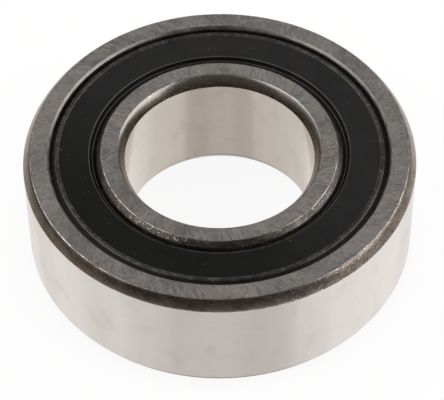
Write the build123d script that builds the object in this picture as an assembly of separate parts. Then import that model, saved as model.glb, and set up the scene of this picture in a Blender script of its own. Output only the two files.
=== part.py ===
from build123d import *
from math import cos, hypot, pi, sin, sqrt
import os

# Sealed double row self-aligning ball bearing, all lengths in millimetres.
# It lies flat: its axis is Z, its middle plane is Z = 0 and its front side is up.
# Outlines are drawn as (radius, height) points and turned about Z.

# Boundary sizes
bore_dia = 30.0
outside_dia = 62.0
bearing_width = 20.0

# Corners where the ground faces of the rings end: slightly bulged, left unground
outer_corner_radial = 1.2
outer_corner_axial = 1.7
bore_corner_radial = 1.2
bore_corner_axial = 1.8
corner_bulge = 0.12

# Balls
ball_dia = 7.938
balls_per_row = 14
ball_clearance = 0.02

# Outer ring: shoulder that the seal rests on, groove for the seal, lip outside it
shoulder_width = 1.0
seal_groove_depth = 1.35
seal_groove_width = 1.15
lip_width = 0.95
lip_depth = 0.95
lip_edge = 0.35

# Inner ring: groove radius over ball radius, rib between the rows, land for the seal
groove_conformity = 1.04
rib_height = 1.17
land_height = 0.44
land_corner_radial = 0.82
land_corner_axial = 0.75

# Cage: a moulded band with a pair of prongs round every ball
pocket_clearance = 0.15
pocket_web = 0.78
cage_inner_gap = 1.0
cage_outer_gap = 1.7
prong_reach = 1.6
prong_slot_width = 0.7
prong_slot_floor = 1.3

# Sheet steel insert of a seal
insert_thickness = 0.4
insert_step = 0.5
insert_edge_cover = 0.9
insert_root_cover = 0.5

# Rubber of a seal: skin over the insert, bead in the groove, raised rim, lip on the land
seal_recess = 0.5
skin_thickness = 0.4
seal_fit = 0.05
bead_edge = 0.15
bead_heel = 0.25
rim_gap = 0.8
rim_width = 0.7
rim_height = 0.17
field_gap = 1.15
field_edge = 0.15
seal_lip_gap = 0.03
seal_lip_drop = 0.95
seal_lip_rise = 0.25
seal_lip_thickness = 0.25

bore_radius = bore_dia / 2
outside_radius = outside_dia / 2
half_width = bearing_width / 2
ball_radius = ball_dia / 2

# Balls: their centres lie midway between bore and outside. The rows are staggered by
# half a pitch, and the cage web between two pockets sets how far apart the rows are.
pitch_radius = (bore_radius + outside_radius) / 2
ball_step = 360 / balls_per_row
pocket_radius = ball_radius + pocket_clearance
staggered_distance = 2 * pocket_radius + pocket_web
staggered_chord = 2 * pitch_radius * sin(pi / balls_per_row / 2)
row_offset = sqrt(staggered_distance**2 - staggered_chord**2) / 2

# The line through both contacts of a ball also runs through the bearing's centre.
ball_centre_reach = hypot(pitch_radius, row_offset)
contact_cos = pitch_radius / ball_centre_reach
contact_sin = row_offset / ball_centre_reach

# Outer ring
raceway_radius = ball_centre_reach + ball_radius + ball_clearance
seal_groove_top = half_width - lip_width
seal_groove_floor = seal_groove_top - seal_groove_width
shoulder_height = seal_groove_floor - shoulder_width
shoulder_radius = sqrt(raceway_radius**2 - shoulder_height**2)
seal_groove_radius = shoulder_radius + seal_groove_depth
lip_radius = seal_groove_radius - lip_depth

# Inner ring
groove_radius = ball_radius * groove_conformity
groove_shift = groove_radius - ball_radius - ball_clearance
groove_centre_radius = pitch_radius + groove_shift * contact_cos
groove_centre_height = row_offset + groove_shift * contact_sin
groove_bottom_radius = groove_centre_radius - groove_radius
rib_radius = groove_bottom_radius + rib_height
land_radius = groove_bottom_radius + land_height

# Seals
field_top = half_width - seal_recess
field_radius = land_radius + field_gap
rim_radius = lip_radius - rim_gap
bead_radius = seal_groove_radius - seal_fit
bead_top = seal_groove_top - seal_fit
bead_bottom = seal_groove_floor + seal_fit
heel_radius = shoulder_radius + seal_fit
insert_top = field_top - skin_thickness
insert_bottom = insert_top - insert_thickness
flange_top = insert_top - insert_step
flange_bottom = insert_bottom - insert_step
insert_bore_radius = field_radius + insert_root_cover
step_radius = rim_radius - skin_thickness
flange_radius = bead_radius - insert_edge_cover
seal_lip_radius = land_radius + seal_lip_gap
seal_lip_top = field_top - seal_lip_drop


def turned(*edges):
    """The ring whose section is the closed outline made of these edges."""
    return revolve(Plane.XZ * make_face(Curve() + list(edges)), Axis.Z)


def below(points):
    """The same outline below the middle plane, run through backwards."""
    return [(radius, -height) for radius, height in reversed(points)]


def bulged(start, end):
    """A ring's corner surface, bulged to the left of the line from start to end."""
    chord = Vector(*end) - Vector(*start)
    peak = (Vector(*start) + Vector(*end)) / 2 + chord.rotate(Axis.Z, 90).normalized() * corner_bulge
    return ThreePointArc(start, (peak.X, peak.Y), end)


def outer_ring():
    """Ring with one spherical raceway for both rows and a seal groove at each end."""
    inside = [
        (shoulder_radius, shoulder_height),
        (shoulder_radius, seal_groove_floor),
        (seal_groove_radius, seal_groove_floor),
        (seal_groove_radius, seal_groove_top),
        (lip_radius, seal_groove_top),
        (lip_radius, half_width - lip_edge),
        (lip_radius + lip_edge, half_width),
        (outside_radius - outer_corner_radial, half_width),
    ]
    wall = [
        (outside_radius, half_width - outer_corner_axial),
        (outside_radius, -half_width + outer_corner_axial),
    ]
    mirrored_inside = below(inside)
    return turned(
        ThreePointArc(mirrored_inside[-1], (raceway_radius, 0), inside[0]),
        Polyline(*inside),
        bulged(inside[-1], wall[0]),
        Line(*wall),
        bulged(wall[1], mirrored_inside[0]),
        Polyline(*mirrored_inside),
    )


def inner_ring():
    """Ring with a groove for each row, a rib between them and a land for each seal."""
    land_end = sqrt(groove_radius**2 - (groove_centre_radius - land_radius) ** 2)
    rib_end = sqrt(groove_radius**2 - (groove_centre_radius - rib_radius) ** 2)
    groove_start = (land_radius, groove_centre_height + land_end)
    groove_middle = (groove_bottom_radius, groove_centre_height)
    groove_stop = (rib_radius, groove_centre_height - rib_end)
    face = [
        (bore_radius + bore_corner_radial, half_width),
        (land_radius - land_corner_radial, half_width),
        (land_radius, half_width - land_corner_axial),
        groove_start,
    ]
    bore = [
        (bore_radius, -half_width + bore_corner_axial),
        (bore_radius, half_width - bore_corner_axial),
    ]
    mirrored_face = below(face)
    return turned(
        Line(*bore),
        bulged(bore[1], face[0]),
        Polyline(*face),
        ThreePointArc(groove_start, groove_middle, groove_stop),
        Line(groove_stop, below([groove_stop])[0]),
        ThreePointArc(*below([groove_start, groove_middle, groove_stop])),
        Polyline(*mirrored_face),
        bulged(mirrored_face[-1], bore[0]),
    )


def ball_places():
    """Name and centre of every ball, row by row, the rear row half a pitch on."""
    rows = (("front", row_offset, 0), ("rear", -row_offset, 0.5))
    for row, height, lead in rows:
        for number in range(balls_per_row):
            place = Pos(0, 0, height) * Rot(0, 0, (number + lead) * ball_step) * Pos(pitch_radius, 0, 0)
            yield f"{row}_ball_{number + 1:02d}", place


def cage():
    """One moulded band that holds both rows, with prongs that snap round the balls."""
    inner_radius = rib_radius + cage_inner_gap
    outer_sphere = raceway_radius - cage_outer_gap
    tip = row_offset + prong_reach
    tip_radius = sqrt(outer_sphere**2 - tip**2)
    band = turned(
        ThreePointArc((tip_radius, -tip), (outer_sphere, 0), (tip_radius, tip)),
        Polyline((tip_radius, tip), (inner_radius, tip), (inner_radius, -tip), (tip_radius, -tip)),
    )
    pockets = [place * Sphere(pocket_radius) for name, place in ball_places()]

    # The prongs of two neighbouring pockets are parted by a slot, which stops short
    # of the pocket of the other row beneath it.
    slot_floor = pocket_radius - row_offset + prong_slot_floor
    slot_height = tip - slot_floor
    slot_length = outer_sphere - inner_radius
    slot = Pos((inner_radius + outer_sphere) / 2, 0, slot_floor + slot_height / 2) * Box(
        2 * slot_length, prong_slot_width, slot_height
    )
    slots = [Rot(0, 0, (number + 0.5) * ball_step) * slot for number in range(balls_per_row)]
    slots += [Rot(0, 0, number * ball_step) * mirror(slot, Plane.XY) for number in range(balls_per_row)]
    return band - pockets - slots


# The insert's two sides, from its bore outwards: flat, then stepped down to a flange
step_run = insert_thickness * sin(pi / 8) / cos(pi / 8)
insert_upper_side = [
    (insert_bore_radius, insert_top),
    (step_radius, insert_top),
    (step_radius + insert_step, flange_top),
    (flange_radius, flange_top),
]
insert_lower_side = [
    (insert_bore_radius, insert_bottom),
    (step_radius - step_run, insert_bottom),
    (step_radius - step_run + insert_step, flange_bottom),
    (flange_radius, flange_bottom),
]


def seal_insert():
    """Pressed sheet steel washer that stiffens the front seal."""
    return turned(Polyline(*insert_upper_side, *reversed(insert_lower_side), close=True))


def seal_rubber():
    """Rubber of the front seal, moulded round the insert's outer side and edges."""
    corner_cut = field_edge * (1 - cos(pi / 4))
    field_corner = [
        (field_radius, field_top - field_edge),
        (field_radius + corner_cut, field_top - corner_cut),
        (field_radius + field_edge, field_top),
    ]
    rim = [
        (rim_radius - rim_width, field_top),
        (rim_radius - rim_width / 2, field_top + rim_height),
        (rim_radius, field_top),
    ]
    bead = [
        (rim_radius, bead_top),
        (bead_radius - bead_edge, bead_top),
        (bead_radius, bead_top - bead_edge),
        (bead_radius, bead_bottom + bead_edge),
        (bead_radius - bead_edge, bead_bottom),
        (heel_radius, bead_bottom),
        (heel_radius - bead_heel, flange_bottom),
    ]
    lip = [
        (field_radius, seal_lip_top - seal_lip_thickness + seal_lip_rise / 2),
        (seal_lip_radius, seal_lip_top - seal_lip_thickness),
        (seal_lip_radius, seal_lip_top),
        (field_radius, seal_lip_top + seal_lip_rise),
    ]
    return turned(
        ThreePointArc(*field_corner),
        Line(field_corner[-1], rim[0]),
        ThreePointArc(*rim),
        Polyline(
            rim[-1],
            *bead,
            insert_lower_side[-1],
            *reversed(insert_upper_side),
            insert_lower_side[0],
            *lip,
            field_corner[0],
        ),
    )


pieces = {
    "outer_ring": outer_ring(),
    "inner_ring": inner_ring(),
    "cage": cage(),
    "front_seal": seal_rubber(),
    "front_seal_insert": seal_insert(),
}
pieces["rear_seal"] = mirror(pieces["front_seal"], Plane.XY)
pieces["rear_seal_insert"] = mirror(pieces["front_seal_insert"], Plane.XY)
for ball_name, ball_place in ball_places():
    pieces[ball_name] = ball_place * Sphere(ball_radius)

os.makedirs("parts", exist_ok=True)
for name, solid in pieces.items():
    export_step(solid, f"parts/{name}.step")
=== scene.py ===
from math import asin, atan2, cos, hypot, pi, radians, sin, sqrt

import bmesh
import bpy
from mathutils import Euler, Matrix, Vector


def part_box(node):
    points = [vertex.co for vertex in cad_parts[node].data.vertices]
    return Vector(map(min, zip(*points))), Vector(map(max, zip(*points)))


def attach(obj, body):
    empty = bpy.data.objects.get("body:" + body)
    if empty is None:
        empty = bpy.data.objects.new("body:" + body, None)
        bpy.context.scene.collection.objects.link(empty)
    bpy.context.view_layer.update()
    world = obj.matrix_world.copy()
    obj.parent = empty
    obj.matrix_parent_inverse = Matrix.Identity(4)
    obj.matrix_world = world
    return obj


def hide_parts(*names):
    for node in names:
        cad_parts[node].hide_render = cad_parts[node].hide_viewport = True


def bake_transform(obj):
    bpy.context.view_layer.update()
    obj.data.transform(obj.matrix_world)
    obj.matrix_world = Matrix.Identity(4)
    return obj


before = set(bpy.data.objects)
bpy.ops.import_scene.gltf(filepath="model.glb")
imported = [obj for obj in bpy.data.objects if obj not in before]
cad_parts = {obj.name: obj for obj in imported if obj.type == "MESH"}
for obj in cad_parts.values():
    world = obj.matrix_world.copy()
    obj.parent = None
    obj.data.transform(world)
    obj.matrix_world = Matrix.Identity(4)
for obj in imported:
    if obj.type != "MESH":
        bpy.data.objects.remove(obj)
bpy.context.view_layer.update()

# Inner ring
# Through-hardened bearing steel, turned, then ground in the bore, on both faces and on the
# seal lands. The corners of the bore keep their dark skin from the heat treatment.
mm = 0.001
turn_steps = 288
edge_break = 0.1 * mm
half_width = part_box("inner_ring")[1].z
bore_radius = 15.0 * mm
bore_corner_radial = 1.2 * mm
bore_corner_axial = 1.8 * mm
bore_corner_pull = (15.74 * mm, 9.785 * mm)
land_radius = 19.449 * mm
land_corner_radial = 0.82 * mm
land_corner_axial = 0.75 * mm
ball_groove_radius = 4.128 * mm
ball_groove_centre = Vector((23.137 * mm, 3.723 * mm))
rib_radius = 20.179 * mm
foot_shade_start = half_width - 0.4 * mm
foot_shade_full = half_width - 1.7 * mm
painted_shade_reach = 1.0 * mm
bare_steel = (0.84, 0.81, 0.78)
scored_steel = (0.26, 0.245, 0.235)
scratch_headings = (0.5, 1.3, 2.4)


def start_finish(name, metallic, roughness):
    """A new finish with its shader, and the piece's own coordinates to lay patterns on."""
    finish = bpy.data.materials.new(name)
    finish.use_nodes = True
    tree = finish.node_tree
    shader = tree.nodes["Principled BSDF"]
    shader.inputs["Metallic"].default_value = metallic
    shader.inputs["Roughness"].default_value = roughness
    place = tree.nodes.new("ShaderNodeTexCoord").outputs["Object"]
    return finish, tree, shader, place


def grain(tree, place, stretch, detail=3.0, roughness=0.5):
    """Noise with about stretch grains to the metre along X, Y and Z."""
    mapping = tree.nodes.new("ShaderNodeMapping")
    mapping.inputs["Scale"].default_value = stretch
    tree.links.new(place, mapping.inputs["Vector"])
    noise = tree.nodes.new("ShaderNodeTexNoise")
    noise.inputs["Scale"].default_value = 1.0
    noise.inputs["Detail"].default_value = detail
    noise.inputs["Roughness"].default_value = roughness
    tree.links.new(mapping.outputs["Vector"], noise.inputs["Vector"])
    return noise.outputs["Fac"]


def feed(tree, socket, value):
    """Sets a socket to a plain value, or links a node's output to it."""
    if isinstance(value, bpy.types.NodeSocket):
        tree.links.new(value, socket)
    else:
        socket.default_value = value


def number_math(tree, operation, *values):
    """The result of a Math node, whose values are plain numbers or other nodes' outputs."""
    node = tree.nodes.new("ShaderNodeMath")
    node.operation = operation
    for socket, value in zip(node.inputs, values):
        feed(tree, socket, value)
    return node.outputs["Value"]


def vector_math(tree, operation, *values, result="Vector"):
    """The same for vectors; a length or a dot product is the node's Value."""
    node = tree.nodes.new("ShaderNodeVectorMath")
    node.operation = operation
    for socket, value in zip(node.inputs, values):
        feed(tree, socket, value)
    return node.outputs[result]


def out_of_axis(tree, place):
    """The flat vector from the ring's axis to a point."""
    return vector_math(tree, "MULTIPLY", place, (1, 1, 0))


def slanting_hairlines(tree, place, slant, count, length):
    """Hairlines that cross a ring's face in slanting arcs, as a face grinding wheel leaves.

    There are about count of them round the ring, each about length long. They lean as slant
    says, which is the angle in radians that a line turns in each metre out from the axis.
    """
    outwards = out_of_axis(tree, place)
    radius = vector_math(tree, "LENGTH", outwards, result="Value")
    turned = tree.nodes.new("ShaderNodeVectorRotate")
    turned.rotation_type = "Z_AXIS"
    tree.links.new(vector_math(tree, "NORMALIZE", outwards), turned.inputs["Vector"])
    tree.links.new(number_math(tree, "MULTIPLY", radius, slant), turned.inputs["Angle"])
    lines_a_radian = count / (2 * pi)
    spread = vector_math(tree, "MULTIPLY", turned.outputs["Vector"], (lines_a_radian,) * 3)
    lift = tree.nodes.new("ShaderNodeCombineXYZ")
    tree.links.new(number_math(tree, "DIVIDE", radius, length), lift.inputs["Z"])
    lifted = vector_math(tree, "ADD", spread, lift.outputs["Vector"])
    return grain(tree, lifted, (1, 1, 1), detail=2.0)


def band(tree, pattern, start, full, least=0.0, most=1.0):
    """A share that goes from least, at start of a pattern's values, to most, at full."""
    mapped = tree.nodes.new("ShaderNodeMapRange")
    mapped.inputs["From Min"].default_value = start
    mapped.inputs["From Max"].default_value = full
    mapped.inputs["To Min"].default_value = least
    mapped.inputs["To Max"].default_value = most
    tree.links.new(pattern, mapped.inputs["Value"])
    return mapped.outputs["Result"]


def where_both(tree, first, second):
    """A share that is full only where both shares are."""
    return number_math(tree, "MULTIPLY", first, second)


def mixed(tree, share, first, second, blend="MIX"):
    """A colour between first and second, each of them a plain colour or a node's output."""
    mix = tree.nodes.new("ShaderNodeMix")
    mix.data_type = "RGBA"
    mix.blend_type = blend
    tree.links.new(share, mix.inputs["Factor"])
    for socket, colour in ((mix.inputs[6], first), (mix.inputs[7], second)):
        feed(tree, socket, (*colour, 1.0) if isinstance(colour, tuple) else colour)
    return mix.outputs[2]


def laid_over(tree, colour, pattern, start, full, share, tint):
    """The colour under a layer of tint: none at start of the pattern, and share of it at full."""
    return mixed(tree, band(tree, pattern, start, full, 0.0, share), colour, tint)


def vary_roughness(tree, shader, pattern, at_low, at_high):
    """Lets the roughness follow a pattern, from its low places to its high ones."""
    tree.links.new(band(tree, pattern, 0.3, 0.7, at_low, at_high), shader.inputs["Roughness"])


def relief(tree, shader, height, depth):
    """Bump of a real depth in metres from a height of 0 to 1."""
    bump = tree.nodes.new("ShaderNodeBump")
    bump.inputs["Strength"].default_value = 1.0
    bump.inputs["Distance"].default_value = depth
    tree.links.new(height, bump.inputs["Height"])
    tree.links.new(bump.outputs["Normal"], shader.inputs["Normal"])


def stray_scratches(tree, place, heading):
    """A few long thin scratches, in patches, that all run along one heading."""
    mapping = tree.nodes.new("ShaderNodeMapping")
    mapping.inputs["Rotation"].default_value = (0, 0, heading)
    tree.links.new(place, mapping.inputs["Vector"])
    turned = mapping.outputs["Vector"]
    lines = band(tree, grain(tree, turned, (90, 3600, 90), detail=1.0), 0.70, 0.74)
    patches = band(tree, grain(tree, turned, (130, 130, 40), detail=1.0), 0.56, 0.64)
    return where_both(tree, lines, patches)


def facing_side(tree, place, side, start, full):
    """1 where a ring faces side, 0 away from it; start and full are the cosines between."""
    direction = vector_math(tree, "NORMALIZE", out_of_axis(tree, place))
    facing = vector_math(tree, "DOT_PRODUCT", direction, side, result="Value")
    return band(tree, facing, start, full)


def ground_face_steel(name, stroke_share, patch_share):
    """Flat ring face: mid grey, with fine slanting hairlines, strokes and soft warm patches."""
    finish, tree, shader, place = start_finish(name, 1.0, 0.36)
    leaning_left = slanting_hairlines(tree, place, slant=-30.0, count=860, length=2.6 * mm)
    leaning_right = slanting_hairlines(tree, place, slant=26.0, count=800, length=3.0 * mm)
    strokes = slanting_hairlines(tree, place, slant=-15.0, count=430, length=1.6 * mm)
    stroked = band(tree, grain(tree, place, (190, 190, 60)), 0.46, 0.60, 0.15, stroke_share)
    shades = grain(tree, place, (70, 70, 30), detail=2.0)
    patches = grain(tree, place, (240, 240, 60), detail=5.0, roughness=0.62)
    marks = grain(tree, place, (1500, 1500, 300), detail=5.0, roughness=0.68)
    smears = grain(tree, place, (620, 620, 200), detail=3.0, roughness=0.6)
    colour = mixed(tree, band(tree, shades, 0.36, 0.64), (0.40, 0.378, 0.362), (0.66, 0.618, 0.592))
    colour = laid_over(tree, colour, patches, 0.48, 0.66, patch_share, (0.72, 0.675, 0.65))
    colour = laid_over(tree, colour, patches, 0.46, 0.34, patch_share, (0.33, 0.312, 0.300))
    colour = laid_over(tree, colour, smears, 0.54, 0.68, 0.55, (0.76, 0.725, 0.70))
    colour = laid_over(tree, colour, leaning_left, 0.48, 0.74, 0.8, (0.80, 0.765, 0.735))
    colour = laid_over(tree, colour, leaning_right, 0.60, 0.76, 0.26, scored_steel)
    dark_strokes = where_both(tree, band(tree, strokes, 0.54, 0.68), stroked)
    light_strokes = where_both(tree, band(tree, strokes, 0.44, 0.30), stroked)
    colour = mixed(tree, dark_strokes, colour, scored_steel)
    colour = mixed(tree, light_strokes, colour, bare_steel)
    colour = laid_over(tree, colour, marks, 0.54, 0.68, 0.6, (0.25, 0.235, 0.225))
    colour = laid_over(tree, colour, marks, 0.44, 0.32, 0.5, (0.84, 0.815, 0.79))
    for heading in scratch_headings:
        colour = mixed(tree, stray_scratches(tree, place, heading), colour, (0.92, 0.89, 0.86))
    tree.links.new(colour, shader.inputs["Base Color"])
    vary_roughness(tree, shader, leaning_left, 0.33, 0.42)
    relief(tree, shader, leaning_left, 0.0012 * mm)
    return finish


def ground_round_steel(name, dull, bright, roughness):
    """Ground bore or outside: satin, with fine lines along the turn and soft bands across."""
    finish, tree, shader, place = start_finish(name, 1.0, roughness)
    bands = grain(tree, place, (110, 110, 5), detail=2.0)
    clouds = grain(tree, place, (260, 260, 200), detail=4.0)
    turned_lines = grain(tree, place, (170, 170, 4200), detail=3.0, roughness=0.7)
    rubs = grain(tree, place, (160, 160, 1500), detail=3.0, roughness=0.6)
    stains = grain(tree, place, (260, 260, 150), detail=4.0, roughness=0.6)
    spots = grain(tree, place, (330, 330, 700), detail=4.0, roughness=0.6)
    darker = tuple(0.86 * share for share in dull)
    colour = mixed(tree, band(tree, bands, 0.42, 0.58), dull, bright)
    colour = laid_over(tree, colour, clouds, 0.55, 0.75, 0.45, darker)
    colour = laid_over(tree, colour, turned_lines, 0.50, 0.75, 0.22, darker)
    colour = laid_over(tree, colour, rubs, 0.64, 0.78, 0.4, darker)
    stained = band(tree, stains, 0.50, 0.68, 0.0, 0.6)
    colour = mixed(tree, stained, colour, (0.985, 0.955, 0.925), "MULTIPLY")
    colour = laid_over(tree, colour, spots, 0.68, 0.80, 0.35, (0.93, 0.905, 0.87))
    tree.links.new(colour, shader.inputs["Base Color"])
    vary_roughness(tree, shader, clouds, roughness - 0.02, roughness + 0.03)
    return finish


def dark_skin_steel(
    name, dark, light, scuffed, roughness, knocked,
    corner_shade_side=None, rear_painted_shade=None, foot=None, pitting=0.003 * mm,
):
    """Corner that no wheel has ground: dark skin, mottled, nicked and scuffed along the turn.

    It is chipped on the side knocked, and painted shade darkens it on the side corner_shade_side.
    As painted shade, the rim light of the rear corner is dimmed to rear_painted_shade, in place of
    the shaded table top that the steel would mirror there, and foot is the shade that it takes on
    towards the bore.
    """
    finish, tree, shader, place = start_finish(name, 1.0, roughness)
    height = tree.nodes.new("ShaderNodeSeparateXYZ")
    tree.links.new(place, height.inputs["Vector"])
    # Painted shade: the rim light of the rear corner is dimmed near the rear face, in place of the
    # shaded table top that the steel would mirror there.
    if rear_painted_shade is not None:
        tint = band(tree, height.outputs["Z"], -painted_shade_reach, painted_shade_reach, rear_painted_shade, 1.0)
        tree.links.new(tint, shader.inputs["Specular Tint"])
    mottle = grain(tree, place, (420, 420, 620), detail=6.0, roughness=0.62)
    scuffs = grain(tree, place, (520, 520, 5200), detail=4.0, roughness=0.6)
    worn = grain(tree, place, (60, 60, 60), detail=2.0)
    nicks = grain(tree, place, (2200, 2200, 6200), detail=4.0, roughness=0.66)
    colour = mixed(tree, band(tree, mottle, 0.32, 0.68), dark, light)
    colour = laid_over(tree, colour, scuffs, 0.56, 0.70, 0.7, scuffed)
    if foot is not None:
        depth = number_math(tree, "ABSOLUTE", height.outputs["Z"])
        towards_foot = band(tree, depth, foot_shade_start, foot_shade_full)
        colour = mixed(tree, towards_foot, colour, foot, "MULTIPLY")
    # Painted shade: the colour is darkened on one side of the ring.
    if corner_shade_side is not None:
        darkened = facing_side(tree, place, corner_shade_side, 0.55, 0.95)
        colour = mixed(tree, darkened, colour, (0.66, 0.63, 0.61), "MULTIPLY")
    knocks = facing_side(tree, place, knocked, 0.86, 0.97)
    wear = number_math(tree, "MAXIMUM", band(tree, worn, 0.50, 0.66, 0.0, 0.6), knocks)
    bared = where_both(tree, band(tree, nicks, 0.55, 0.67), wear)
    colour = mixed(tree, bared, colour, bare_steel)
    tree.links.new(colour, shader.inputs["Base Color"])
    vary_roughness(tree, shader, mottle, roughness - 0.02, roughness + 0.04)
    relief(tree, shader, nicks, pitting)
    return finish


def worn_edge_steel():
    """The broken edge of a ground face, rubbed bright in places."""
    finish, tree, shader, place = start_finish("worn_edge_steel", 1.0, 0.3)
    rubs = grain(tree, place, (950, 950, 950), detail=5.0, roughness=0.68)
    colour = mixed(tree, band(tree, rubs, 0.40, 0.64), (0.30, 0.28, 0.262), (0.86, 0.84, 0.82))
    tree.links.new(colour, shader.inputs["Base Color"])
    vary_roughness(tree, shader, rubs, 0.42, 0.22)
    return finish


def honed_raceway_steel():
    """Raceway honed after grinding: close to a mirror, with faint lines along the turn."""
    finish, tree, shader, place = start_finish("honed_raceway_steel", 1.0, 0.14)
    lines = grain(tree, place, (40, 40, 7000), detail=2.0)
    colour = mixed(tree, band(tree, lines, 0.35, 0.7), (0.76, 0.75, 0.74), (0.66, 0.65, 0.64))
    tree.links.new(colour, shader.inputs["Base Color"])
    vary_roughness(tree, shader, lines, 0.10, 0.20)
    return finish


def eased(start, pull, end, steps=10):
    """Points of a curve that leaves start towards the point pull and comes from there to end."""
    shares = [step / steps for step in range(steps + 1)]
    first, middle, last = Vector(start), Vector(pull), Vector(end)
    return [first * (1 - t) ** 2 + middle * 2 * t * (1 - t) + last * t**2 for t in shares]


def turn_outline(mesh, stretches):
    """Turns each stretch of a section about the bearing's axis, in the finish of that stretch."""
    for finish, points in stretches:
        for ends in zip(points, points[1:]):
            strip = bmesh.new()
            corners = [strip.verts.new((radius, 0, height)) for radius, height in ends]
            bmesh.ops.spin(
                strip, geom=corners + [strip.edges.new(corners)], cent=(0, 0, 0), axis=(0, 0, 1),
                angle=2 * pi, steps=turn_steps, use_merge=True,
            )
            for face in strip.faces:
                face.material_index = finish
            turned_strip = bpy.data.meshes.new("turned_strip")
            strip.to_mesh(turned_strip)
            strip.free()
            mesh.from_mesh(turned_strip)
            bpy.data.meshes.remove(turned_strip)
    bmesh.ops.remove_doubles(mesh, verts=mesh.verts, dist=0.001 * mm)
    bmesh.ops.recalc_face_normals(mesh, faces=mesh.faces)


def mirrored(points):
    """The same points on the other side of the middle plane."""
    return [(radius, -height) for radius, height in points]


def below(stretches):
    """The same stretches on the other side of the middle plane."""
    return [(finish, mirrored(points)) for finish, points in stretches]


def break_edges(mesh, circles, width, finish=None):
    """Rounds off the sharp edges that lie on these circles of (radius, height).

    The rounding gets a finish of its own, or else that of the faces beside it.
    """
    near = 0.002 * mm
    on_circle = {}
    for vert in mesh.verts:
        x, y, z = vert.co
        reach = hypot(x, y)
        for number, (radius, height) in enumerate(circles):
            if abs(z - height) < near and abs(reach - radius) < near:
                on_circle[vert] = number
    edges = []
    for edge in mesh.edges:
        first, last = edge.verts
        if first in on_circle and on_circle[first] == on_circle.get(last):
            edges.append(edge)
    made = bmesh.ops.bevel(
        mesh, geom=edges, offset=width, offset_type="OFFSET", segments=3,
        profile=0.5, affect="EDGES", material=-1, clamp_overlap=True,
    )
    if finish is not None:
        for face in made["faces"]:
            face.material_index = finish


def finished_piece(name, mesh, finishes):
    """The object of a finished mesh, shaded smooth with its flats kept flat."""
    for face in mesh.faces:
        face.smooth = True
    data = bpy.data.meshes.new(name)
    mesh.to_mesh(data)
    mesh.free()
    for finish in finishes:
        data.materials.append(finish)
    piece = bpy.data.objects.new(name, data)
    bpy.context.scene.collection.objects.link(piece)
    even = piece.modifiers.new("even_shading", "WEIGHTED_NORMAL")
    even.mode = "FACE_AREA"
    even.weight = 50
    return piece


inner_face_steel = ground_face_steel("inner_face_steel", stroke_share=0.75, patch_share=0.8)
edge_steel = worn_edge_steel()
raceway_steel = honed_raceway_steel()
bore_steel = ground_round_steel(
    "ground_bore_steel", dull=(0.61, 0.568, 0.522), bright=(0.67, 0.63, 0.588), roughness=0.16,
)
bore_corner_steel = dark_skin_steel(
    "bore_corner_steel", dark=(0.43, 0.398, 0.368), light=(0.50, 0.467, 0.436),
    scuffed=(0.56, 0.53, 0.502), roughness=0.26, knocked=(-0.42, 0.91, 0),
    foot=(0.40, 0.32, 0.245), pitting=0.0004 * mm,
)
land_edge_steel = dark_skin_steel(
    "land_edge_steel", dark=(0.080, 0.070, 0.062), light=(0.165, 0.148, 0.133),
    scuffed=(0.32, 0.295, 0.275), roughness=0.36, knocked=(-0.50, -0.866, 0),
)
inner_finishes = [
    inner_face_steel, bore_steel, bore_corner_steel, edge_steel, land_edge_steel, raceway_steel,
]
FACE, ROUND, CORNER, EDGE, TURNED, RACEWAY = range(len(inner_finishes))

bore_corner_foot = (bore_radius, half_width - bore_corner_axial)
bore_corner_top = (bore_radius + bore_corner_radial, half_width)
inner_face_end = (land_radius - land_corner_radial, half_width)
land_top = (land_radius, half_width - land_corner_axial)
groove_reach = ball_groove_centre.x - land_radius
land_foot_height = ball_groove_centre.y + sqrt(ball_groove_radius**2 - groove_reach**2)
rib_reach = ball_groove_centre.x - rib_radius
rib_top_height = ball_groove_centre.y - sqrt(ball_groove_radius**2 - rib_reach**2)
groove_first = atan2(land_foot_height - ball_groove_centre.y, -groove_reach)
groove_last = 2 * pi + atan2(rib_top_height - ball_groove_centre.y, -rib_reach)
groove_points = []
groove_steps = 16
for step in range(groove_steps + 1):
    angle = groove_first + (groove_last - groove_first) * step / groove_steps
    spoke = Vector((cos(angle), sin(angle))) * ball_groove_radius
    groove_points.append(ball_groove_centre + spoke)

inner_half = [
    (CORNER, eased(bore_corner_foot, bore_corner_pull, bore_corner_top)),
    (FACE, [bore_corner_top, inner_face_end]),
    (TURNED, [inner_face_end, land_top]),
    (FACE, [land_top, (land_radius, land_foot_height)]),
    (RACEWAY, groove_points),
]
inner_mesh = bmesh.new()
turn_outline(inner_mesh, inner_half + below(inner_half) + [
    (ROUND, [(bore_radius, -bore_corner_foot[1]), bore_corner_foot]),
    (ROUND, [(rib_radius, rib_top_height), (rib_radius, -rib_top_height)]),
])
inner_worn = [bore_corner_top, inner_face_end]
inner_soft = [bore_corner_foot, land_top]
break_edges(inner_mesh, inner_worn + mirrored(inner_worn), edge_break, EDGE)
break_edges(inner_mesh, inner_soft + mirrored(inner_soft), edge_break / 2)
inner_ring = finished_piece("inner_ring_turned", inner_mesh, inner_finishes)
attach(inner_ring, "inner_ring")
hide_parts("inner_ring")

# Cage
# One piece of glass-fibre filled polyamide, moulded in its natural cream colour. Prongs on
# both sides snap round the balls of the two rows and keep them apart.


def moulded_polyamide():
    """Natural polyamide: cream, a little cloudy, with short fibres under a satin skin."""
    finish, tree, shader, place = start_finish("moulded_polyamide", 0.0, 0.45)
    clouds = grain(tree, place, (240, 240, 240), detail=3.0)
    fibres = grain(tree, place, (5200, 700, 700), detail=2.0)
    colour = mixed(tree, band(tree, clouds, 0.3, 0.7), (0.62, 0.54, 0.40), (0.72, 0.65, 0.50))
    colour = laid_over(tree, colour, fibres, 0.58, 0.74, 0.6, (0.83, 0.78, 0.66))
    tree.links.new(colour, shader.inputs["Base Color"])
    vary_roughness(tree, shader, fibres, 0.38, 0.54)
    relief(tree, shader, fibres, 0.004 * mm)
    return finish


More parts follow.
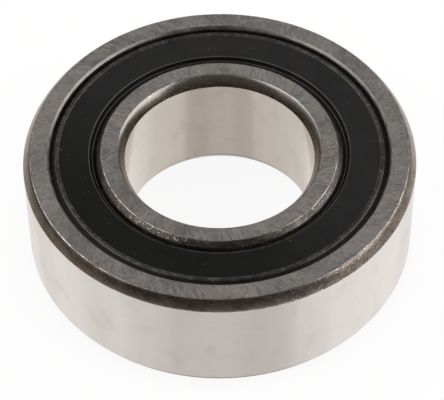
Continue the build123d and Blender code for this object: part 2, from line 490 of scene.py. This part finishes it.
cage_polyamide = moulded_polyamide()
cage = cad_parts["cage"]
cage.data.materials.clear()
cage.data.materials.append(cage_polyamide)

# Balls
# Twenty-eight hardened chromium steel balls, lapped to a mirror, fourteen in each row. They
# snap into the cage's pockets and roll between the inner ring's grooves and the outer ring.


def lapped_ball_steel():
    """Lapped steel: a mirror with a bare trace of cloudiness."""
    finish, tree, shader, place = start_finish("lapped_ball_steel", 1.0, 0.06)
    haze = grain(tree, place, (900, 900, 900), detail=2.0)
    colour = mixed(tree, band(tree, haze, 0.3, 0.7), (0.74, 0.74, 0.745), (0.79, 0.79, 0.795))
    tree.links.new(colour, shader.inputs["Base Color"])
    vary_roughness(tree, shader, haze, 0.045, 0.09)
    return finish


ball_steel = lapped_ball_steel()
balls_per_row = 14
for row in ("front", "rear"):
    for number in range(balls_per_row):
        name = f"{row}_ball_{number + 1:02d}"
        low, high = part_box(name)
        ball_mesh = bmesh.new()
        bmesh.ops.create_icosphere(
            ball_mesh, subdivisions=4, radius=(high.z - low.z) / 2,
            matrix=Matrix.Translation((low + high) / 2),
        )
        ball = finished_piece(f"{name}_lapped", ball_mesh, [ball_steel])
        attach(ball, name)
        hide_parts(name)

# Outer ring
# The same steel as the inner ring, with one ball-shaped raceway for both rows. Its outside
# and faces are ground; the corners, the seal grooves and their lips are left as hardened.
outer_low, outer_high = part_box("outer_ring")
outside_radius = outer_high.x
outer_corner_radial = 1.2 * mm
outer_corner_axial = 1.7 * mm
outer_corner_pull = (30.23 * mm, 9.75 * mm)
lip_radius = 26.798 * mm
lip_edge = 0.35 * mm
seal_groove_top = 9.05 * mm
seal_groove_floor = 7.9 * mm
seal_groove_radius = 27.748 * mm
shoulder_height = 6.9 * mm
raceway_radius = 27.2849 * mm
shoulder_radius = sqrt(raceway_radius**2 - shoulder_height**2)


def turned_steel(name, metallic):
    """Turned before hardening and not ground since: dull grey with tool lines, greased or bare."""
    finish, tree, shader, place = start_finish(name, metallic, 0.36)
    tool_lines = grain(tree, place, (60, 60, 9000), detail=3.0, roughness=0.6)
    mottle = grain(tree, place, (500, 500, 500), detail=4.0)
    colour = mixed(tree, band(tree, mottle, 0.35, 0.65), (0.27, 0.252, 0.238), (0.46, 0.44, 0.42))
    colour = laid_over(tree, colour, tool_lines, 0.5, 0.7, 0.5, (0.18, 0.168, 0.158))
    tree.links.new(colour, shader.inputs["Base Color"])
    vary_roughness(tree, shader, mottle, 0.3, 0.44)
    return finish


outer_face_steel = ground_face_steel("outer_face_steel", stroke_share=0.6, patch_share=0.65)
lip_edge_steel = turned_steel("lip_edge_steel", metallic=1.0)
groove_steel = turned_steel("greased_groove_steel", metallic=0.8)
outside_steel = ground_round_steel(
    "ground_outside_steel", dull=(0.79, 0.755, 0.728), bright=(0.85, 0.82, 0.795), roughness=0.31,
)
# Painted shade darkens this corner on its front-left side and dims the rim light of its rear
# corner.
outer_corner_steel = dark_skin_steel(
    "outer_corner_steel", dark=(0.185, 0.147, 0.120), light=(0.335, 0.282, 0.240),
    scuffed=(0.49, 0.433, 0.387), roughness=0.27, knocked=(0.55, -0.835, 0),
    corner_shade_side=(-0.77, -0.64, 0), rear_painted_shade=0.3,
)
outer_finishes = [
    outer_face_steel, outside_steel, outer_corner_steel, edge_steel, lip_edge_steel, raceway_steel,
    groove_steel,
]
GROOVE = len(outer_finishes) - 1

raceway_half_angle = asin(shoulder_height / raceway_radius)
raceway_steps = 24
raceway_points = []
for step in range(raceway_steps + 1):
    angle = raceway_half_angle * (2 * step / raceway_steps - 1)
    raceway_points.append((raceway_radius * cos(angle), raceway_radius * sin(angle)))

outer_corner_foot = (outside_radius, half_width - outer_corner_axial)
outer_corner_top = (outside_radius - outer_corner_radial, half_width)
outer_face_end = (lip_radius + lip_edge, half_width)
lip_top = (lip_radius, half_width - lip_edge)
outer_half = [
    (CORNER, eased(outer_corner_foot, outer_corner_pull, outer_corner_top)),
    (FACE, [outer_corner_top, outer_face_end]),
    (TURNED, [outer_face_end, lip_top]),
    (GROOVE, [
        lip_top,
        (lip_radius, seal_groove_top),
        (seal_groove_radius, seal_groove_top),
        (seal_groove_radius, seal_groove_floor),
        (shoulder_radius, seal_groove_floor),
        (shoulder_radius, shoulder_height),
    ]),
]
outer_mesh = bmesh.new()
turn_outline(outer_mesh, outer_half + below(outer_half) + [
    (ROUND, [(outside_radius, -outer_corner_foot[1]), outer_corner_foot]),
    (RACEWAY, raceway_points),
])
outer_worn = [outer_corner_top]
outer_soft = [outer_corner_foot, outer_face_end, lip_top]
break_edges(outer_mesh, outer_worn + mirrored(outer_worn), edge_break, EDGE)
break_edges(outer_mesh, outer_soft + mirrored(outer_soft), edge_break / 2)
outer_ring = finished_piece("outer_ring_turned", outer_mesh, outer_finishes)
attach(outer_ring, "outer_ring")
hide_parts("outer_ring")

# Seal inserts
# Washers pressed from sheet steel, one in each seal, stepped once near the outside. They
# are blasted for a good bond and the rubber is moulded round them.


def blasted_sheet_steel():
    """Blasted sheet: dull grey with a fine even grain."""
    finish, tree, shader, place = start_finish("blasted_sheet_steel", 1.0, 0.5)
    specks = grain(tree, place, (5000, 5000, 5000), detail=2.0)
    colour = mixed(tree, band(tree, specks, 0.3, 0.7), (0.44, 0.44, 0.45), (0.58, 0.58, 0.59))
    tree.links.new(colour, shader.inputs["Base Color"])
    vary_roughness(tree, shader, specks, 0.44, 0.6)
    relief(tree, shader, specks, 0.004 * mm)
    return finish


sheet_steel = blasted_sheet_steel()
for name in ("front_seal_insert", "rear_seal_insert"):
    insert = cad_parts[name]
    insert.data.materials.clear()
    insert.data.materials.append(sheet_steel)

# Seal rubbers
# Black nitrile rubber moulded round each insert: a bead that snaps into the outer ring's
# groove, a skin with a raised rim, a narrow ledge below the skin's inner edge, and a thin
# lip that wipes the inner ring's land.
field_top = 9.5 * mm
field_radius = 20.52 * mm
field_edge = 0.15 * mm
rim_radius = 26.08 * mm
rim_width = 0.8 * mm
rim_height = 0.17 * mm
bead_radius = 27.698 * mm
bead_top = 9.0 * mm
bead_bottom = 7.95 * mm
bead_edge = 0.15 * mm
heel_radius = 26.448 * mm
heel_lean = 0.25 * mm
insert_thickness = 0.4 * mm
insert_top = 9.1 * mm
insert_bore_radius = 21.099 * mm
insert_step = 0.5 * mm
insert_step_radius = 25.598 * mm
flange_radius = 26.798 * mm
flange_top = insert_top - insert_step
flange_bottom = flange_top - insert_thickness
seal_lip_radius = 19.479 * mm
seal_lip_top = 8.55 * mm
seal_lip_rise = 0.25 * mm
seal_lip_thickness = 0.25 * mm
ledge_radius = 19.97 * mm
ledge_top = 8.98 * mm
ledge_edge = 0.1 * mm
rubber_edge = 0.05 * mm


def moulded_rubber(
    name, dark, light, roughness, shine=0.5, dust_share=0.5, rubber_shade_side=None, chafe_and_highlight=None,
):
    """Nitrile rubber: black and satin, with a fine mould grain and a few pale dust specks.

    Painted shade makes it blacker on the side rubber_shade_side, and chafe_and_highlight is the
    grey of its rubbed places, partly scuffing and partly painted highlight.
    """
    finish, tree, shader, place = start_finish(name, 0.0, roughness)
    shader.inputs["Specular IOR Level"].default_value = shine
    mould_grain = grain(tree, place, (4200, 4200, 4200), detail=2.0)
    wipes = grain(tree, place, (260, 140, 200), detail=4.0)
    specks = grain(tree, place, (1500, 1500, 1500), detail=3.0, roughness=0.6)
    colour = mixed(tree, band(tree, wipes, 0.3, 0.72), dark, light)
    # Painted shade: the rubber is made much blacker on one side.
    if rubber_shade_side is not None:
        shaded_share = facing_side(tree, place, rubber_shade_side, -0.1, 0.75)
        colour = mixed(tree, shaded_share, colour, (0.20, 0.19, 0.17), "MULTIPLY")
    # The chafed grey is partly scuffing and partly painted highlight.
    if chafe_and_highlight is not None:
        chafe_and_highlight_grain = grain(tree, place, (1500, 1500, 1500), detail=4.0, roughness=0.66)
        colour = laid_over(tree, colour, chafe_and_highlight_grain, 0.50, 0.64, 0.7, chafe_and_highlight)
    colour = laid_over(tree, colour, specks, 0.68, 0.74, dust_share, (0.12, 0.115, 0.11))
    tree.links.new(colour, shader.inputs["Base Color"])
    vary_roughness(tree, shader, wipes, roughness - 0.05, roughness + 0.06)
    relief(tree, shader, mould_grain, 0.003 * mm)
    return finish


def seal_outline():
    """The front rubber's outline, closed round the outer side and both edges of the insert."""
    field_start = (field_radius, field_top - field_edge)
    field_corner = (field_radius + field_edge, field_top)
    rim_start = (rim_radius - rim_width, field_top)
    rim_peak = (rim_radius - rim_width / 2, field_top + 2 * rim_height)
    rim_end = (rim_radius, field_top)
    ledge_start = (ledge_radius, ledge_top - ledge_edge)
    ledge_end = (ledge_radius + ledge_edge, ledge_top)
    return [
        (HIGHLIT_EDGE, eased(field_start, (field_radius, field_top), field_corner, 4)),
        (RUBBER, [field_corner, rim_start]),
        (RIM, eased(rim_start, rim_peak, rim_end, 8)),
        (GAP, [rim_end, (rim_radius, bead_top), (bead_radius - bead_edge, bead_top)]),
        (RUBBER, [
            (bead_radius - bead_edge, bead_top),
            (bead_radius, bead_top - bead_edge),
            (bead_radius, bead_bottom + bead_edge),
            (bead_radius - bead_edge, bead_bottom),
            (heel_radius, bead_bottom),
            (heel_radius - heel_lean, flange_bottom),
            (flange_radius, flange_bottom),
            (flange_radius, flange_top),
            (insert_step_radius + insert_step, flange_top),
            (insert_step_radius, insert_top),
            (insert_bore_radius, insert_top),
            (insert_bore_radius, insert_top - insert_thickness),
            (field_radius, seal_lip_top - seal_lip_thickness + seal_lip_rise / 2),
            (seal_lip_radius, seal_lip_top - seal_lip_thickness),
            (seal_lip_radius, seal_lip_top),
            (ledge_radius, seal_lip_top + seal_lip_rise),
            ledge_start,
        ]),
        (HIGHLIT_EDGE, eased(ledge_start, (ledge_radius, ledge_top), ledge_end, 4)),
        (SHADED_CREVICE, [ledge_end, (field_radius, ledge_top), field_start]),
    ]


def blend_by_radius(piece):
    """Bakes a flat seal's placement into its mesh.

    For the bake each point's height is set to its distance from the axis. It is put back
    afterwards.
    """
    shape = [vert.co.copy() for vert in piece.data.vertices]
    for vert in piece.data.vertices:
        vert.co.z = hypot(*vert.co.xy)
    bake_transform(piece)
    for vert, place in zip(piece.data.vertices, shape):
        vert.co = place
    piece.data.update()


# Painted shade blackens the skin on its front-left side.
skin_rubber = moulded_rubber(
    "moulded_rubber", dark=(0.0095, 0.0089, 0.0089), light=(0.0135, 0.0127, 0.0127),
    roughness=0.38, shine=0.4, rubber_shade_side=(-0.57, -0.82, 0),
)
# The rim is lighter than the skin and chafed grey in places: partly wear and dust, partly painted
# highlight.
rim_rubber_wear_and_highlight = moulded_rubber(
    "rim_rubber_wear_and_highlight", dark=(0.0065, 0.0062, 0.006), light=(0.024, 0.0227, 0.0218),
    roughness=0.30, shine=0.8, dust_share=0.8, chafe_and_highlight=(0.076, 0.0725, 0.0695),
)
# Painted highlight: the rounded edges of the skin and the ledge are lighter than the rest of the
# rubber; they are glossier too.
edge_highlight_rubber = moulded_rubber(
    "edge_highlight_rubber", dark=(0.03, 0.0285, 0.0275), light=(0.07, 0.067, 0.065),
    roughness=0.22, shine=1.0,
)
gap_rubber = moulded_rubber(
    "gap_rubber", dark=(0.006, 0.0055, 0.0052), light=(0.015, 0.014, 0.0132),
    roughness=0.5, shine=0.3,
)
# Painted shade: the crevice between the ledge and the skin is much blacker than the same rubber
# elsewhere.
crevice_shade_rubber = moulded_rubber(
    "crevice_shade_rubber", dark=(0.0016, 0.0015, 0.0015), light=(0.0024, 0.0023, 0.0023),
    roughness=0.6, shine=0.2,
)
rubber_finishes = [skin_rubber, rim_rubber_wear_and_highlight, edge_highlight_rubber, gap_rubber, crevice_shade_rubber]
RUBBER, RIM, HIGHLIT_EDGE, GAP, SHADED_CREVICE = range(len(rubber_finishes))

for name, side in (("front_seal", 1), ("rear_seal", -1)):
    seal_mesh = bmesh.new()
    outline = [
        (finish, [(radius, side * height) for radius, height in points])
        for finish, points in seal_outline()
    ]
    turn_outline(seal_mesh, outline)
    break_edges(seal_mesh, [(seal_lip_radius, side * seal_lip_top)], rubber_edge)
    seal = finished_piece(f"{name}_moulded", seal_mesh, rubber_finishes)
    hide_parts(name)
    blend_by_radius(seal)

# Stage
# A white table with the bearing lying on its rear face. The steel mirrors a room of plain
# cards: grey walls above the table's level and a dark front, with a soft box at each side, and
# light walls below it, round a white bottom that is grey in front.
floor_size = 6.0
floor_drop = 0.01 * mm
floor_white = (0.92, 0.92, 0.92)
white_share = 0.9
fill_white = (1.0, 0.985, 0.97)
fill_strength = 0.8
soft_box_white = (1.0, 0.98, 0.96)
room_height = 1.2
room_width = 3.6
room_front = -0.95
room_back = 2.5
ceiling_white = (1.0, 0.98, 0.96)
ceiling_level = 0.172
ceiling_slope = (0, 0.08, 0)
wall_grey = (0.21, 0.205, 0.20)
left_wall_white = (1.0, 0.98, 0.96)
left_wall_level = 0.07
left_wall_slope = (0, 0, 0.48)
room_dark = (0.078, 0.071, 0.067)
low_wall_grey = (0.62, 0.605, 0.59)
low_depth = -0.6
low_size = 3.0
low_white = (1.0, 0.975, 0.955)
low_level = 0.88
low_slope = (0.06, 0.15, 0)
low_grey = (0.63, 0.595, 0.57)
low_grey_size = (0.7, 1.1)
low_grey_lift = 0.01
low_grey_place = (0, -0.75, low_depth + low_grey_lift)


def seen_or_mirrored(tree):
    """1 for what the camera sees, straight or in metal and glass, and 0 for other light."""
    ray = tree.nodes.new("ShaderNodeLightPath").outputs
    seen = number_math(tree, "MAXIMUM", ray["Is Camera Ray"], ray["Is Glossy Ray"])
    return number_math(tree, "MAXIMUM", seen, ray["Is Transmission Ray"])


def white_table_top():
    """Matt white, partly lit from itself so that it shows white and keeps a shadow."""
    finish = bpy.data.materials.new("white_table_top")
    finish.use_nodes = True
    tree = finish.node_tree
    tree.nodes.remove(tree.nodes["Principled BSDF"])
    matt = tree.nodes.new("ShaderNodeBsdfDiffuse")
    matt.inputs["Color"].default_value = (*floor_white, 1)
    glow = tree.nodes.new("ShaderNodeEmission")
    mix = tree.nodes.new("ShaderNodeMixShader")
    share = number_math(tree, "MULTIPLY", seen_or_mirrored(tree), white_share)
    tree.links.new(share, mix.inputs["Fac"])
    tree.links.new(matt.outputs["BSDF"], mix.inputs[1])
    tree.links.new(glow.outputs["Emission"], mix.inputs[2])
    tree.links.new(mix.outputs["Shader"], tree.nodes["Material Output"].inputs["Surface"])
    return finish


def plain_card(name, colour, size, place, turn=(0, 0, 0), level=1.0, slope=None):
    """A flat card that only shows in the steel, of one brightness or graded along a slope.

    Its brightness at a point is level, and slope more for each metre from the bearing's centre.
    """
    card_mesh = bmesh.new()
    stand = Matrix.LocRotScale(Vector(place), Euler(turn), Vector((*size, 1)))
    bmesh.ops.create_grid(card_mesh, x_segments=1, y_segments=1, size=0.5, matrix=stand)
    data = bpy.data.meshes.new(name)
    card_mesh.to_mesh(data)
    card_mesh.free()
    finish = bpy.data.materials.new(name)
    finish.use_nodes = True
    tree = finish.node_tree
    tree.nodes.remove(tree.nodes["Principled BSDF"])
    glow = tree.nodes.new("ShaderNodeEmission")
    glow.inputs["Color"].default_value = (*colour, 1)
    glow.inputs["Strength"].default_value = level
    if slope is not None:
        on_card = tree.nodes.new("ShaderNodeTexCoord").outputs["Object"]
        rise = vector_math(tree, "DOT_PRODUCT", on_card, slope, result="Value")
        tree.links.new(number_math(tree, "ADD", rise, level), glow.inputs["Strength"])
    tree.links.new(glow.outputs["Emission"], tree.nodes["Material Output"].inputs["Surface"])
    data.materials.append(finish)
    card = bpy.data.objects.new(name, data)
    bpy.context.scene.collection.objects.link(card)
    card.visible_camera = False
    card.visible_diffuse = False
    card.visible_shadow = False


floor_mesh = bmesh.new()
bmesh.ops.create_grid(floor_mesh, x_segments=1, y_segments=1, size=floor_size / 2)
bmesh.ops.translate(floor_mesh, vec=(0, 0, outer_low.z - floor_drop), verts=floor_mesh.verts)
floor_data = bpy.data.meshes.new("table_top")
floor_mesh.to_mesh(floor_data)
floor_mesh.free()
floor_data.materials.append(white_table_top())
floor = bpy.data.objects.new("table_top", floor_data)
bpy.context.scene.collection.objects.link(floor)
floor.visible_glossy = False

room_length = room_back - room_front
room_middle = (room_back + room_front) / 2
room_side = room_width / 2
wall_middle = room_height / 2
low_wall_middle = low_depth / 2
end_wall = (room_width, room_height)
side_wall = (room_height, room_length)
low_end_wall = (room_width, -low_depth)
low_side_wall = (-low_depth, room_length)
upright = (pi / 2, 0, 0)
sideways = (0, pi / 2, 0)
plain_card(
    "ceiling", ceiling_white, (room_width, room_length), (0, room_middle, room_height),
    level=ceiling_level, slope=ceiling_slope,
)
plain_card("back_wall", wall_grey, end_wall, (0, room_back, wall_middle), upright)
plain_card("dark_front", room_dark, end_wall, (0, room_front, wall_middle), upright)
plain_card(
    "left_wall", left_wall_white, side_wall, (-room_side, room_middle, wall_middle), sideways,
    level=left_wall_level, slope=left_wall_slope,
)
plain_card("right_wall", wall_grey, side_wall, (room_side, room_middle, wall_middle), sideways)
plain_card(
    "low_white", low_white, (low_size, low_size), (0, 0, low_depth),
    level=low_level, slope=low_slope,
)
plain_card("low_grey", low_grey, low_grey_size, low_grey_place)
plain_card("low_back", low_wall_grey, low_end_wall, (0, room_back, low_wall_middle), upright)
plain_card(
    "low_left", low_wall_grey, low_side_wall, (-room_side, room_middle, low_wall_middle), sideways,
)
plain_card(
    "low_right", low_wall_grey, low_side_wall, (room_side, room_middle, low_wall_middle), sideways,
)

world = bpy.data.worlds.new("white_studio")
bpy.context.scene.world = world
world.use_nodes = True
sky = world.node_tree
backdrop = sky.nodes["Background"]
backdrop.inputs["Color"].default_value = (1, 1, 1, 1)
backdrop.inputs["Strength"].default_value = 1.0
fill = sky.nodes.new("ShaderNodeBackground")
fill.inputs["Color"].default_value = (*fill_white, 1)
fill.inputs["Strength"].default_value = fill_strength
world_mix = sky.nodes.new("ShaderNodeMixShader")
sky.links.new(seen_or_mirrored(sky), world_mix.inputs["Fac"])
sky.links.new(fill.outputs["Background"], world_mix.inputs[1])
sky.links.new(backdrop.outputs["Background"], world_mix.inputs[2])
sky.links.new(world_mix.outputs["Shader"], sky.nodes["World Output"].inputs["Surface"])


def soft_box(name, place, width, height, radiance):
    """A soft box that faces the bearing; radiance is its brightness as it shows in a mirror."""
    lamp = bpy.data.lights.new(name, "AREA")
    lamp.shape = "RECTANGLE"
    lamp.size = width
    lamp.size_y = height
    lamp.energy = radiance * pi * width * height
    lamp.color = soft_box_white
    box = bpy.data.objects.new(name, lamp)
    box.location = place
    box.rotation_euler = (-Vector(place)).to_track_quat("-Z", "Y").to_euler()
    box.visible_camera = False
    bpy.context.scene.collection.objects.link(box)


soft_box("right_soft_box", place=(0.80, 0.00, 0.50), width=1.10, height=0.82, radiance=1.35)
soft_box("left_soft_box", place=(-0.62, -0.04, 0.66), width=1.05, height=0.52, radiance=1.25)

# Camera
# A long lens a good third of a metre away looks down on the bearing's front side. Its place,
# heading and slight roll are those that fit the edges of the rings in the photo.
image_width_px = 444
focal_length_px = 2234.8
sensor_width_mm = 36.0
camera_elevation = radians(49.87)
camera_roll = radians(0.643)
camera_distance = 359.14 * mm
aim_right = 0.302 * mm
aim_up = -1.598 * mm
view_line = Vector((0, cos(camera_elevation), -sin(camera_elevation)))
right = Vector((1, 0, 0))
up = Vector((0, sin(camera_elevation), cos(camera_elevation)))
lens = bpy.data.cameras.new("camera")
lens.sensor_width = sensor_width_mm
lens.lens = sensor_width_mm * focal_length_px / image_width_px
lens.clip_start = 10 * mm
lens.clip_end = 20.0
camera = bpy.data.objects.new("camera", lens)
bpy.context.scene.collection.objects.link(camera)
camera_x = right * cos(camera_roll) - up * sin(camera_roll)
camera_y = right * sin(camera_roll) + up * cos(camera_roll)
camera.matrix_world = Matrix.Translation(
    -view_line * camera_distance + right * aim_right + up * aim_up
) @ Matrix((camera_x, camera_y, -view_line)).transposed().to_4x4()
bpy.context.scene.camera = camera
bpy.context.scene.view_settings.view_transform = "Standard"
